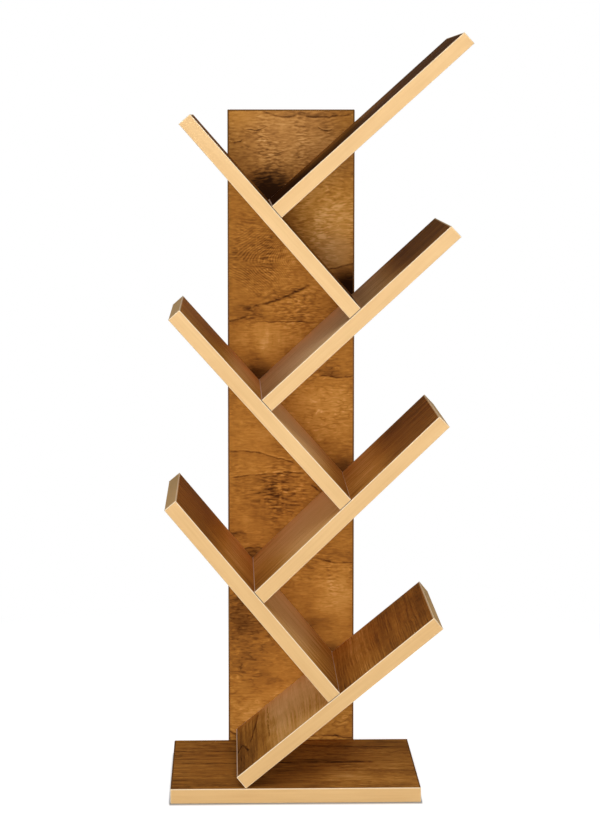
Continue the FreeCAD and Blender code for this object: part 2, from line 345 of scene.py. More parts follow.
# where the tip's painted tone ends and where the foot's begins, from a shelf's left end
LEFT_FADE = (50.0 * MM, 140.0 * MM)
RIGHT_FADE = (250.0 * MM, 160.0 * MM)
# how much paler the foot's half is at the front and at the back
DEPTH_TONES = (-0.22, 0.16)
# how far a foot's shade reaches up its shelf, and the shade past the foot that stands on a shelf
FOOT_REACH = 90.0 * MM
JOINT_REACH = 52.0 * MM
JOINT_SHADE = 0.50
# depths under the upper face between which these shades end
SHADE_DEPTHS = (-12.0 * MM, -6.0 * MM)
# dark line behind the front band
FRONT_LINE = 3.0 * MM
FRONT_LINE_SHADE = 0.25
# step from one board's stretch of the print to the next one's
PRINT_STEP = (1.7, 0.9, 0.6)

# edge bands: darkest and palest of the plastic's grain, and its trimmed rims, on pale bands paler partly as
# a painted highlight
PALE_EDGING = ((0.66, 0.42, 0.195), (0.74, 0.495, 0.243), (0.97, 0.82, 0.60))
# the foot and back bands, paler all over: a painted highlight on edges that lie in shade
FOOT_EDGING_HIGHLIGHT = ((0.74, 0.52, 0.37), (0.82, 0.60, 0.45), (0.92, 0.77, 0.65))
BROWN_EDGING = ((0.13, 0.056, 0.016), (0.26, 0.12, 0.036), (0.22, 0.11, 0.042))
# share of fine lines in that grain, and how far the rims and the dark seam at a foot cover it;
# the seam is a glue line and partly painted shade in the joint
LINE_SHARE = 0.45
RIM_HIGHLIGHT_COVER = 0.85
SEAM_SHADE_COVER = 0.9
SEAM_SHADE_COLOUR = (0.06, 0.026, 0.008, 1.0)
# painted shade: a darker, warmer tone for the lower bands, where less light falls, and the heights between
# which it sets in
LOW_BAND_SHADE = (0.92, 0.89, 0.82, 1.0)
LOW_BAND_SHADE_HEIGHTS = (0.70, -0.05)

# zinc plating, stained and clean, and the dark inside of a socket
STAINED_ZINC = (0.30, 0.29, 0.26)
CLEAN_ZINC = (0.44, 0.44, 0.43)
SOCKET_COLOUR = (0.06, 0.06, 0.06, 1.0)

# floor: size, the painted contact shadow that its paint and its glow have beside the base,
# and where it turns plain white
FLOOR_RADIUS = 3.0
FLOOR_RINGS = 24
FLOOR_POINTS = 64
CONTACT_SHADOW_REACH = 12.0 * MM
CONTACT_SHADOW_GREYS = (0.42, 0.86)
GLOW_REACH = 14.0 * MM
GLOW = 0.68
FLOOR_FADE = (0.45, 1.1)
# how many times narrower the shade is at the base's ends than along its front
END_NARROWING = 4.0

# light from all round, and the studio lamps: name, place, point looked at, width and height, watts
AMBIENT = 0.32
LAMPS = (
    ("low_softbox", (-0.08, -3.2, 0.28), (0.0, 0.0, 0.40), (0.9, 0.4), 26.0),
    ("front_softbox", (-0.08, -3.2, 0.72), (0.0, 0.0, 0.50), (0.9, 0.5), 36.0),
    ("upper_softbox", (0.0, -1.7, 2.4), (0.0, 0.0, 0.40), (1.6, 1.2), 18.0),
    ("back_softbox", (0.4, 2.8, 0.9), (0.0, 0.0, 0.5), (1.6, 1.2), 22.0),
)


def node_points(node):
    """All vertices of a node of the frame, as rows of x, y and z."""
    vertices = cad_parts[node].data.vertices
    points = np.empty(3 * len(vertices), np.float32)
    vertices.foreach_get("co", points)
    return points.reshape(-1, 3).astype(float)


def shelf_axes(shelf):
    """A shelf's own axes as rows: along its slope to the right, to the back, square to its upper face.

    The upper front edge joins the band's highest point to its outermost point at the foot.
    """
    points = node_points(f"{shelf}_front_band")
    side = 1.0 if shelf in RIGHT_SHELVES else -1.0
    tip = points[np.argmax(points[:, 2])]
    foot = points[np.argmin(side * points[:, 0])]
    slope = side * (tip - foot) * (1.0, 0.0, 1.0)
    slope /= np.linalg.norm(slope)
    return np.array([slope, Y_AXIS, (-slope[2], 0.0, slope[0])])


def shelf_origin(shelf):
    """The left end of the upper face, half way between front and back, and the slope's turn about Y."""
    axes = shelf_axes(shelf)
    local = node_points(f"{shelf}_front_band") @ axes.T
    corner = np.array([local[:, 0].min(), 0.0, local[:, 2].max()])
    return corner @ axes, -math.atan2(axes[0][2], axes[0][0])


def foot_corner(shelf):
    """The x and z, in millimetres, of the corner where a shelf's upper face meets what carries its foot."""
    axes = shelf_axes(shelf)
    points = node_points(f"{shelf}_foot_band")
    outward = axes[2] - axes[0] if shelf in RIGHT_SHELVES else axes[2] + axes[0]
    return points[np.argmax(points @ outward)][[0, 2]] / MM


def corners_of(node, axes):
    """The eight corners of a node that is a skewed block, ordered low to high along three axes.

    Along each of the eight diagonals the farthest point is a corner.
    """
    points = node_points(node)
    local = points @ axes.T
    low, high = local.min(axis=0), local.max(axis=0)
    share = (2.0 * local - low - high) / (high - low)
    diagonals = np.array(list(itertools.product((-1.0, 1.0), repeat=3)))
    return points[np.argmax(diagonals @ share.T, axis=1)].reshape(2, 2, 2, 3)


def rounded_block(corners):
    """Points, facings, local places and faces of a block with rounded rims.

    A ball's points are spread to the corners of a box: place = sign * (half - radius) + radius * facing,
    with half the box's side and the octant's sign. Rows run from the ball's inner pole to its outer pole,
    columns round it. The inner half has the small radius, the outer half the large one. Box places are then
    carried to the block by mixing its eight corners.
    """
    steps = RIM_STEPS
    quadrants = np.array(((1.0, 1.0), (-1.0, 1.0), (-1.0, -1.0), (1.0, -1.0)))
    rise = np.linspace(0.0, math.pi / 2, steps + 1)
    latitude = np.concatenate([rise[1:] - math.pi / 2, rise[:-1]])
    longitude = (rise + math.pi / 2 * np.arange(4)[:, None]).ravel()
    length_sign, width_sign = np.repeat(quadrants.T, steps + 1, axis=1)
    out_sign = np.repeat((-1.0, 1.0), steps)[:, None]

    flat, up = np.cos(latitude)[:, None], np.sin(latitude)[:, None]
    body_facing = np.broadcast_arrays(flat * np.cos(longitude), flat * np.sin(longitude), up)
    body_sign = np.broadcast_arrays(length_sign, width_sign, out_sign)
    pole_sign = np.array([(*quadrant, pole) for pole in (-1.0, 1.0) for quadrant in quadrants])
    facing = np.concatenate([np.stack(body_facing, axis=-1).reshape(-1, 3), pole_sign * Z_AXIS])
    sign = np.concatenate([np.stack(body_sign, axis=-1).reshape(-1, 3), pole_sign])

    radius = np.where(sign[:, 2:] < 0, INNER_RIM, OUTER_RIM)
    neighbours = np.array([corners[0, 1, 1], corners[1, 0, 1], corners[1, 1, 0]])
    half = np.linalg.norm(corners[1, 1, 1] - neighbours, axis=1) / 2
    place = sign * (half - radius) + radius * facing
    high = (1.0 + place / half) / 2
    share = np.stack([1.0 - high, high], axis=-1)
    points = np.einsum("ni,nj,nk,ijkc->nc", share[:, 0], share[:, 1], share[:, 2], corners)

    rows, columns = 2 * steps, 4 * (steps + 1)
    index = np.arange(rows * columns).reshape(rows, columns)
    onward = np.roll(index, -1, axis=1)
    faces = np.stack([index[:-1], onward[:-1], onward[1:], index[1:]], axis=-1).reshape(-1, 4).tolist()
    for ring, first_pole, order in ((0, rows * columns, -1), (rows - 1, rows * columns + 4, 1)):
        quarters = index[ring].reshape(4, steps + 1)
        poles = first_pole + np.arange(4)
        fan_poles = np.broadcast_to(poles[:, None], (4, steps))
        fans = np.stack([quarters[:, :-1], quarters[:, 1:], fan_poles], axis=-1).reshape(-1, 3)
        next_start, next_pole = np.roll(quarters[:, 0], -1), np.roll(poles, -1)
        joins = np.stack([quarters[:, -1], next_start, next_pole, poles], axis=-1)
        for group in (fans, joins, poles[None]):
            faces += group[:, ::order].tolist()
    return points, facing, place, faces


def add_piece(name, points, faces, material, replaced):
    """A mesh piece in the frame that stands for one node of it and takes the given finish."""
    mesh = bpy.data.meshes.new(name)
    mesh.from_pydata(points, [], faces)
    mesh.polygons.foreach_set("use_smooth", np.ones(len(mesh.polygons), bool))
    mesh.materials.append(material)
    piece = bpy.data.objects.new(name, mesh)
    bpy.context.scene.collection.objects.link(piece)
    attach(piece, "root")
    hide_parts(replaced)
    return mesh


def add_point_values(mesh, name, values):
    """A number for each point of a mesh, for its material to read."""
    attribute = mesh.attributes.new(name, "FLOAT", "POINT")
    attribute.data.foreach_set("value", values.astype(np.float32))


def add_edging(node, axes, material, slot, start, seam_end):
    """An edge band with rounded rims, made on its node's corners. Its axes run along, across and out of it.

    The attribute strip holds each point's place along, across and through the band, from a start of its
    own. Rim is 1 on the upper rounding, less on the lower and 0 on the flat faces: where the rims' paler
    colour, partly a painted highlight, lies. Seam is 1 on the rounding of the end that meets another board:
    the low end along the band for -1, the high end for 1. The seam's dark colour is partly painted shade.
    """
    points, facing, place, faces = rounded_block(corners_of(node, axes))
    if np.linalg.det(axes) < 0:
        faces = [face[::-1] for face in faces]
    mesh = add_piece(node.replace("_band", "_edging"), points, faces, material, node)
    strip = mesh.attributes.new("strip", "FLOAT_VECTOR", "POINT")
    strip.data.foreach_set("vector", (place + (start, 0.0, 0.0)).astype(np.float32).ravel())
    # the rims' paler colour, partly a painted highlight, weaker on the lower rims
    rounding = np.clip((1.0 - np.abs(facing).max(axis=1)) * RIM_HIGHLIGHT_RISE, 0.0, 1.0)
    add_point_values(mesh, "rim", rounding * np.where(facing[:, 1] < 0, LOWER_RIM_HIGHLIGHT, 1.0))
    add_point_values(mesh, "seam", np.clip(seam_end * facing[:, 0] * SEAM_SHADE_RISE, 0.0, 1.0))
    mesh.normals_split_custom_set_from_vertices(facing @ axes)


def screw_form():
    """Points and faces of one screw along Z, its head's top at z = 0.

    A profile carried round the axis: each ring's radius is a circle's, or a hexagon's, where a hexagon's is
    its half width over the cosine of the angle from the nearest flat. Both ends are closed to a point.
    """
    profile = np.array(SCREW_PROFILE)
    angle = np.linspace(0.0, 2 * math.pi, SCREW_POINTS, endpoint=False)
    from_flat = (angle + math.pi / 6) % (math.pi / 3) - math.pi / 6
    hexagon = 1.0 / np.cos(from_flat)
    radius = profile[:, :1] * (1.0 + profile[:, 2:] * (hexagon - 1.0))
    height = np.broadcast_to(profile[:, 1:2], radius.shape)
    rings = np.stack([radius * np.cos(angle), radius * np.sin(angle), height], axis=-1)
    ends = np.array([(0.0, 0.0, height[0, 0] - SOCKET_POINT), (0.0, 0.0, height[-1, 0])])
    points = np.concatenate([rings.reshape(-1, 3), ends])

    index = np.arange(radius.size).reshape(radius.shape)
    onward = np.roll(index, -1, axis=1)
    quads = np.stack([index[:-1], index[1:], onward[1:], onward[:-1]], axis=-1).reshape(-1, 4)
    top = np.stack([index[0], onward[0], np.full(SCREW_POINTS, radius.size)], axis=-1)
    tip = np.stack([onward[-1], index[-1], np.full(SCREW_POINTS, radius.size + 1)], axis=-1)
    return points, quads, np.concatenate([top, tip])


def head_middles(points):
    """The middle of each screw head, from head corners on one face: the mean of the corners in reach."""
    apart = np.linalg.norm(points[:, None] - points[None], axis=-1)
    near = apart < HEAD_REACH
    means = (near[:, :, None] * points[None]).sum(axis=1) / near.sum(axis=1, keepdims=True)
    return np.unique(means.round(5), axis=0)


def add_screws(name, node, seats, material):
    """All screws of a node as one piece.

    A seat is a board face: three axes, the last one out of the face, and the face's height along it.
    """
    form, quads, fans = screw_form()
    all_points, all_faces = [], []
    corners = np.unique(node_points(node).round(6), axis=0)
    count = 0
    for axes, height in seats:
        local = corners @ axes.T
        middles = head_middles(local[np.abs(local[:, 2] - height) < SEAT_TOLERANCE])
        middles = middles[np.abs(middles[:, 2] - height) < SEAT_TOLERANCE]
        for middle in middles:
            all_points.append((form + middle) @ axes)
            all_faces += (quads + count).tolist() + (fans + count).tolist()
            count += len(form)
    mesh = add_piece(name, np.concatenate(all_points), all_faces, material, node)
    mesh.set_sharp_from_angle(angle=SHARP_ANGLE)
    # the socket's rings and the point that closes it, the last point but one
    sunk = np.zeros(len(form))
    sunk[:SOCKET_RINGS * SCREW_POINTS] = 1.0
    sunk[-2] = 1.0
    add_point_values(mesh, "socket", np.tile(sunk, count // len(form)))


class Nodes:
    """A node tree. Its methods add nodes and give back their outputs."""

    def __init__(self, tree):
        self.tree = tree

    def feed(self, socket, value):
        """Link a socket to an output, or set it to a plain value."""
        if isinstance(value, bpy.types.NodeSocket):
            self.tree.links.new(value, socket)
        else:
            socket.default_value = value

    def node(self, kind, feeds, **settings):
        """A new node itself, with its sockets fed."""
        node = self.tree.nodes.new(f"ShaderNode{kind}")
        for name, value in settings.items():
            setattr(node, name, value)
        for socket, value in feeds.items():
            self.feed(node.inputs[socket], value)
        return node

    def object_place(self):
        return self.node("TexCoord", {}).outputs["Object"]

    def board_place(self, origin, turn):
        """Object coordinates seen from a board's own origin and turn."""
        feeds = {"Vector": self.object_place(), "Location": origin, "Rotation": turn}
        return self.node("Mapping", feeds, vector_type="TEXTURE").outputs[0]

    def attribute(self, name, output):
        return self.node("Attribute", {}, attribute_name=name).outputs[output]

    def parts(self, vector):
        return self.node("SeparateXYZ", {0: vector}).outputs

    def vector(self, x, y, z):
        return self.node("CombineXYZ", {0: x, 1: y, 2: z}).outputs[0]

    def shift(self, vector, by):
        return self.node("VectorMath", {0: vector, 1: by}, operation="ADD").outputs[0]

    def stretch(self, vector, by):
        return self.node("VectorMath", {0: vector, 1: by}, operation="MULTIPLY").outputs[0]

    def length(self, vector):
        return self.node("VectorMath", {0: vector}, operation="LENGTH").outputs["Value"]

    def noise(self, place, pattern):
        """Soft noise in one of the named patterns."""
        cells, detail, roughness = PATTERNS[pattern]
        vector = self.stretch(place, cells)
        feeds = {"Vector": vector, "Scale": 1.0, "Detail": detail, "Roughness": roughness}
        return self.node("TexNoise", feeds).outputs[0]

    def sum(self, operation, a, b=0.5, c=0.5):
        """One step of arithmetic."""
        return self.node("Math", {0: a, 1: b, 2: c}, operation=operation).outputs[0]

    def product(self, a, b):
        return self.sum("MULTIPLY", a, b)

    def most(self, values):
        """The greatest of several values."""
        return functools.reduce(lambda a, b: self.sum("MAXIMUM", a, b), values)

    def spread(self, value, low, high, to_low=0.0, to_high=1.0):
        """A soft step from one value to another as an input goes from low to high."""
        feeds = {"Value": value, "From Min": low, "From Max": high, "To Min": to_low, "To Max": to_high}
        return self.node("MapRange", feeds, interpolation_type="SMOOTHSTEP").outputs[0]

    def blend(self, share, first, second, blend_type="MIX"):
        """Two colours mixed by a share."""
        node = self.node("Mix", {0: share, 6: first, 7: second}, data_type="RGBA", blend_type=blend_type)
        return node.outputs[2]

    def ramp(self, value, stops):
        """A colour for each value, between (position, colour) stops."""
        node = self.node("ValToRGB", {0: value})
        elements = node.color_ramp.elements
        while len(elements) < len(stops):
            elements.new(1.0)
        for element, (position, colour) in zip(elements, stops):
            element.position = position
            element.color = (*colour, 1.0)
        return node.outputs[0]

    def bump(self, height, strength):
        feeds = {"Height": height, "Strength": strength, "Distance": RELIEF}
        return self.node("Bump", feeds).outputs[0]

    def seen_rays(self):
        """1 for rays that show a thing to the camera, directly, mirrored or through glass, 0 for light."""
        path = self.node("LightPath", {}).outputs
        return self.most([path[ray] for ray in ("Is Camera Ray", "Is Glossy Ray", "Is Transmission Ray")])


class Finish(Nodes):
    """One material."""

    def __init__(self, name):
        self.material = bpy.data.materials.new(name)
        self.material.use_nodes = True
        super().__init__(self.material.node_tree)
        self.shader = self.tree.nodes["Principled BSDF"]

    def surface(self, **sockets):
        """Values and outputs for the surface's own sockets, with _ for a space."""
        for name, value in sockets.items():
            self.feed(self.shader.inputs[name.replace("_", " ")], value)


def spot(finish, face, middle, reach):
    """1 in the middle of an oval on a board's face, falling to 0 at its reach."""
    shift = [-part * MM for part in middle]
    size = [1.0 / (part * MM) for part in reach]
    oval = finish.stretch(finish.shift(face, (*shift, 0.0)), (*size, 0.0))
    return finish.spread(finish.length(oval), 1.0, SPOT_CORE)


def crack(finish, face, start, end, rise, width, shade):
    """1 along a bowed line on a board's face, shaded on one side, with a pale rim on the other, tapered.

    The line is start + share * climb + 4 * rise * share * (1 - share), with the share of its run.
    """
    along, over, _ = finish.parts(face)
    run, climb = end[0] - start[0], end[1] - start[1]
    share = finish.sum("MULTIPLY_ADD", along, 1.0 / (run * MM), -start[0] / run)
    bow = finish.sum("MULTIPLY_ADD", share, -4.0 * rise * MM, (climb + 4.0 * rise) * MM)
    line = finish.sum("MULTIPLY_ADD", bow, share, start[1] * MM)
    off = finish.sum("SUBTRACT", line, over) if shade >= 0 else finish.sum("SUBTRACT", over, line)
    profile = finish.spread(finish.sum("ABSOLUTE", off), width * MM, 0.1 * width * MM)
    one_side = finish.spread(off, -0.5 * MM, 0.5 * MM)
    shaded = finish.product(one_side, finish.spread(off, (abs(shade) + 1.0) * MM, 0.0))
    profile = finish.sum("MULTIPLY_ADD", shaded, CRACK_SHADE, profile)
    from_rim = finish.sum("ABSOLUTE", finish.sum("ADD", off, 1.5 * width * MM))
    profile = finish.sum("MULTIPLY_ADD", finish.spread(from_rim, width * MM, 0.0), -CRACK_RIM, profile)
    begun = finish.spread(share, 0.0, CRACK_TAPER)
    left = finish.spread(share, 1.0, 1.0 - CRACK_TAPER)
    return finish.product(profile, finish.product(begun, left))


def wander(finish, place, cells, reach, detail=2.0):
    """A place pushed about by soft noise, up to about half its reach each way."""
    feeds = {"Vector": finish.stretch(place, cells), "Scale": 1.0, "Detail": detail}
    push = finish.shift(finish.node("TexNoise", feeds).outputs["Color"], (-0.5, -0.5, -0.5))
    return finish.shift(place, finish.stretch(push, (reach, reach, 0.0)))


def turned_over(finish, face, middle, height):
    """Places on a board's print that differ on its far side, past the middle of its thickness.

    The far side is mirrored, and moved about half the board's height on, from the top round to the bottom.
    The share of the near side is given back too.
    """
    along, over, through = finish.parts(face)
    far = finish.spread(through, middle + 0.5 * MM, middle - 0.5 * MM)
    along = finish.product(along, finish.sum("MULTIPLY_ADD", far, -2.0, 1.0))
    over = finish.sum("WRAP", finish.sum("MULTIPLY_ADD", far, FAR_SHIFT * height, over), height, 0.0)
    return finish.vector(along, over, through), finish.sum("SUBTRACT", 1.0, far)


def darker(finish, tone, mask, weight):
    """A tone less a weighted mask."""
    return finish.sum("MULTIPLY_ADD", mask, -weight, tone)


def within(finish, face, places):
    """1 in some places on a board's face, with clouded outlines."""
    clouded = wander(finish, face, *PLACE_WANDER)
    return finish.most([spot(finish, clouded, *place) for place in places])


def ticks(finish, place):
    """Short crackle lines, broken contours of a noise: 1 on a dark line, -1 on the pale line beside it."""
    field = finish.noise(place, "tick")
    wave = finish.sum("SINE", finish.product(field, TICK_WAVE))
    breaks = finish.noise(place, "tick_break")
    return finish.product(finish.sum("POWER", wave, 3.0), finish.spread(breaks, 0.36, 0.56))


def print_tone(finish, grain_place, grain):
    """The plain print's tone, and its crackle, fibre and fine lines.

    Broad clouds, streaks, mottling, fibre and columns make it paler or darker about its middle tone.
    Dark hairs, ticks and fine lines along the grain are taken off.
    """
    place = wander(finish, grain_place, BROAD_WANDER, grain.wander)
    place = wander(finish, place, FINE_WANDER, FINE_SHARE * grain.wander)
    clouds = {name: finish.noise(place, name) for name in CLOUD_LAYERS}
    hairs = finish.spread(finish.noise(place, "hair"), 0.50, 0.66)
    dashes = finish.noise(finish.stretch(place, (grain.dash, 1.0, 1.0)), "line")
    thick = finish.spread(clouds["column"], 0.60, 0.40, 0.35, 1.0)
    lines = finish.product(finish.spread(dashes, 0.37, 0.63, -1.0, 1.0), thick)
    crackle = ticks(finish, place)
    where = finish.noise(place, "tick_place")
    some = finish.product(crackle, finish.spread(where, 0.40, 0.62, 0.35, 1.0))
    weights = {name: getattr(grain, name) for name in CLOUD_LAYERS}
    tone = BASE_TONE - 0.5 * sum(weights.values())
    for name, weight in weights.items():
        tone = darker(finish, tone, clouds[name], -weight)
    for layer, weight in ((hairs, grain.hair), (some, grain.ticks), (lines, grain.lines)):
        tone = darker(finish, tone, layer, weight)
    return tone, crackle, clouds["fibre"], lines


def cracks_and_stains(finish, face, tone, cracks, stains):
    """The print's cracks and stains, their outlines frayed along the grain."""
    frayed = wander(finish, face, *CRACK_WANDER)
    clouded = wander(finish, face, *STAIN_WANDER)
    # on the trunk some paler stains are painted light
    for middle, reach, weight in stains:
        tone = darker(finish, tone, spot(finish, clouded, middle, reach), weight)
    broken = finish.spread(finish.noise(face, "crack_break"), 0.30, 0.58, 0.4, 1.0)
    for line in cracks:
        tone = darker(finish, tone, finish.product(crack(finish, frayed, *line), broken), CRACK_DARKNESS)
    return tone


def growth_lines(finish, face):
    """Growth lines nested as arches that open to the right of a knot.

    They are the sine of sqrt(dz^2 + tip^2) - dx^2 / (2 spread), dx and dz from the knot's left end, so that
    they run level at the left, where dx is 0, and ever steeper to the right.
    """
    (middle, height), (reach, _) = TRUNK_CURLS
    along, over, _ = finish.parts(wander(finish, face, *CURL_WANDER))
    dx = finish.sum("MAXIMUM", finish.sum("SUBTRACT", along, (middle - reach) * MM), 0.0)
    dz = finish.sum("SUBTRACT", over, height * MM)
    arch = finish.sum("SQRT", finish.sum("MULTIPLY_ADD", dz, dz, ARCH_TIP ** 2))
    arch = finish.sum("MULTIPLY_ADD", finish.product(dx, dx), -0.5 / ARCH_SPREAD, arch)
    wave = finish.sum("SINE", finish.product(arch, 2 * math.pi / ARCH_SPACING))
    breaks = finish.noise(face, "curl_break")
    return finish.product(wave, finish.spread(breaks, 0.36, 0.60, 0.25, 1.0))


def cross_flecks(finish, face):
    """Fine waves across the face, 1 when dark and -1 when pale, broken by upright pale gaps."""
    place = wander(finish, face, BROAD_WANDER, TRUNK_GRAIN.wander)
    waves = finish.spread(finish.noise(place, "fleck"), 0.36, 0.64, 1.0, -1.0)
    gaps = finish.spread(finish.noise(face, "fleck_gap"), 0.50, 0.62)
    return finish.sum("MULTIPLY_ADD", gaps, finish.sum("SUBTRACT", -0.6, waves), waves)


def trunk_figure(finish, face, tone, crackle, lines):
    """The trunk's dashes, curls, cross flecks, flames and thick crackle, each only in its own places."""
    curled = spot(finish, face, *TRUNK_CURLS)
    flares = finish.spread(finish.noise(face, "flare"), 0.62, 0.72)
    flames = finish.spread(finish.noise(face, "flame"), 0.35, 0.70)
    figure = (
        ("dashes", lines, [within(finish, face, TRUNK_DASHES)]),
        ("curls", growth_lines(finish, face), [curled]),
        ("flares", flares, [curled]),
        ("flecks", cross_flecks(finish, face), [spot(finish, face, *TRUNK_FLECKS)]),
        ("flames", flames, [spot(finish, face, *place) for place in TRUNK_FLAMES]),
        ("crackle", crackle, [spot(finish, face, *place) for place in TRUNK_CRACKLE]),
    )
    for name, pattern, shares in figure:
        for share in shares:
            tone = darker(finish, tone, finish.product(pattern, share), FIGURE_WEIGHTS[name])
    return tone


def finish_print(finish, tone, crackle, fibre, grey=None):
    """The matt surface over the print, a little sunk along the ticks and greyer where it is weathered."""
    tone = finish.product(tone, TONE_SCALE)
    colour = finish.ramp(tone, PRINT_TONES)
    if grey is not None:
        share = finish.product(grey, WEATHERED_SHARE)
        colour = finish.blend(share, colour, finish.ramp(tone, WEATHERED_TONES))
    height = finish.sum("MULTIPLY_ADD", crackle, -0.5, fibre)
    finish.surface(
        Base_Color=colour,
        Roughness=finish.spread(fibre, 0.3, 0.7, 0.78, 0.90),
        Specular_IOR_Level=SHEEN,
        Normal=finish.bump(height, 0.12),
    )
    return finish.material


def pocket_shade(finish, face):
    """How dark the trunk is at each foot's corner, fading outwards, between the two boards' upper faces."""
    along, over, _ = finish.parts(face)
    pockets = []
    for shelf, (reach, depth) in TRUNK_POCKETS.items():
        corner, height = foot_corner(shelf)
        pocket = finish.product(spot(finish, face, (corner, height), (reach, reach)), depth)
        carrier = SHELF_CHAIN[SHELF_CHAIN.index(shelf) + 1]
        for board in (shelf, carrier):
            lean, _, rise = shelf_axes(board)[2]
            above = finish.sum("MULTIPLY_ADD", along, lean, -(corner * lean + height * rise) * MM)
            above = finish.sum("MULTIPLY_ADD", over, rise, above)
            pocket = finish.product(pocket, finish.spread(above, -POCKET_SOFTNESS, 0.0))
        pockets.append(pocket)
    return finish.most(pockets)


def trunk_print(start):
    """The trunk's print: level grain, with the cracks, stains, figure and painted light and shade of its
    front face.
    """
    finish = Finish("trunk_print")
    front = finish.board_place((0.0, 0.0, 0.0), (math.pi / 2, 0.0, 0.0))
    tone, crackle, fibre, lines = print_tone(finish, finish.shift(front, start), TRUNK_GRAIN)
    low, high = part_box("trunk_core")
    face, near = turned_over(finish, front, -(low.y + high.y) / 2, high.z + low.z)
    tone = finish.sum("SUBTRACT", tone, finish.product(pocket_shade(finish, front), near))
    tone = trunk_figure(finish, face, tone, crackle, lines)
    tone = cracks_and_stains(finish, face, tone, TRUNK_CRACKS, TRUNK_STAINS_AND_PAINTED_LIGHT)
    return finish_print(finish, tone, crackle, fibre, within(finish, face, TRUNK_WEATHERED))


def base_print(start):
    """The base's print: grain along its width, with a dark streak across the middle."""
    finish = Finish("base_print")
    face = finish.object_place()
    tone, crackle, fibre, _ = print_tone(finish, finish.shift(face, start), BASE_GRAIN)
    tone = cracks_and_stains(finish, face, tone, BASE_CRACKS, BASE_STAINS)
    return finish_print(finish, tone, crackle, fibre)


def joint_shade(finish, shelf, along, through):
    """How dark a shelf's upper side is towards its own foot, and past the foot that stands on it."""
    axes = shelf_axes(shelf)
    ends = (node_points(f"{shelf}_front_band") @ axes.T)[:, 0]
    foot, to_tip = (ends.min(), 1.0) if shelf in RIGHT_SHELVES else (ends.max(), -1.0)
    from_foot = finish.product(finish.sum("SUBTRACT", along, foot - ends.min()), to_tip)
    shade = finish.spread(from_foot, FOOT_REACH, 0.0, 0.0, SHELF_TONES_AND_LIGHT[shelf].shade)
    above = SHELF_CHAIN.index(shelf) - 1
    if above >= 0:
        stand = to_tip * ((node_points(f"{SHELF_CHAIN[above]}_foot_band") @ axes.T)[:, 0] - foot)
        past = finish.spread(from_foot, stand.max() + JOINT_REACH, stand.max(), 0.0, JOINT_SHADE)
        past = finish.product(past, finish.spread(from_foot, stand.min(), stand.max()))
        shade = finish.most([shade, past])
    return finish.product(shade, finish.spread(through, *SHADE_DEPTHS))


def shelf_print(shelf, start):
    """A shelf's print: grain along its slope, or across it on the lowest shelf, with painted shade towards
    the tip.
    """
    finish = Finish(f"{shelf}_print")
    origin, turn = shelf_origin(shelf)
    face = finish.board_place(tuple(origin), (0.0, turn, 0.0))
    along, over, through = finish.parts(face)
    if shelf == LOWEST_SHELF:
        crosswise = finish.vector(over, along, through)
        tone, crackle, fibre, _ = print_tone(finish, finish.shift(crosswise, start), ACROSS_GRAIN)
        tone = cracks_and_stains(finish, crosswise, tone, ROOT_CRACKS, ROOT_STAINS)
    else:
        tone, crackle, fibre, _ = print_tone(finish, finish.shift(face, start), SHELF_GRAIN)
    tones = SHELF_TONES_AND_LIGHT[shelf]
    fade = RIGHT_FADE if shelf in RIGHT_SHELVES else LEFT_FADE
    tone = finish.sum("ADD", tone, finish.spread(along, *fade, tones.tip, tones.foot))
    backward = finish.spread(over, BOARD_FRONT, -BOARD_FRONT, *DEPTH_TONES)
    tone = finish.sum("ADD", tone, finish.product(backward, finish.spread(along, *fade)))
    front_line = finish.spread(over, BOARD_FRONT + FRONT_LINE, BOARD_FRONT)
    tone = darker(finish, tone, front_line, FRONT_LINE_SHADE)
    tone = finish.sum("SUBTRACT", tone, joint_shade(finish, shelf, along, through))
    grey = finish.spread(along, *fade, 0.0, tones.weathered) if tones.weathered else None
    return finish_print(finish, tone, crackle, fibre, grey)


def edging(name, dark, light, rim_highlight_colour):
    """A plastic edge band: faint lengthwise grain, painted shade lower down, pale rims, a dark seam."""
    finish = Finish(name)
    strip = finish.attribute("strip", "Vector")
    cloud = finish.noise(strip, "plastic_cloud")
    line = finish.noise(strip, "plastic_line")
    tone = finish.sum("MULTIPLY_ADD", line, LINE_SHARE, finish.product(cloud, 1.0 - LINE_SHARE))
    colour = finish.ramp(tone, ((0.3, dark), (0.7, light)))
    height = finish.parts(finish.object_place())[2]
    # painted shade: darker and warmer lower down, where less light falls
    colour = finish.blend(finish.spread(height, *LOW_BAND_SHADE_HEIGHTS), colour, LOW_BAND_SHADE, "MULTIPLY")
    # the rims' paler colour: trimmed plastic, and partly a painted highlight
    rim = finish.product(finish.attribute("rim", "Fac"), RIM_HIGHLIGHT_COVER)
    colour = finish.blend(rim, colour, (*rim_highlight_colour, 1.0))
    # the dark seam at a foot: a glue line, and partly painted shade in the joint
    seam = finish.product(finish.attribute("seam", "Fac"), SEAM_SHADE_COVER)
    colour = finish.blend(seam, colour, SEAM_SHADE_COLOUR)
    finish.surface(
        Base_Color=colour,
        Roughness=finish.spread(line, 0.3, 0.7, 0.74, 0.86),
        Specular_IOR_Level=SHEEN,
        Normal=finish.bump(line, 0.06),
    )
    return finish.material


def zinc():
    """Zinc plating with fine turning marks and a faint warm stain, dark inside the socket."""
    finish = Finish("zinc_screw")
    place = finish.object_place()
    stain = finish.noise(place, "zinc_stain")
    scratch = finish.noise(place, "zinc_scratch")
    plating = finish.ramp(stain, ((0.35, STAINED_ZINC), (0.65, CLEAN_ZINC)))
    finish.surface(
        Base_Color=finish.blend(finish.attribute("socket", "Fac"), plating, SOCKET_COLOUR),
        Metallic=1.0,
        Roughness=finish.spread(stain, 0.3, 0.7, 0.34, 0.52),
        Normal=finish.bump(scratch, 0.1),
    )
    return finish.material


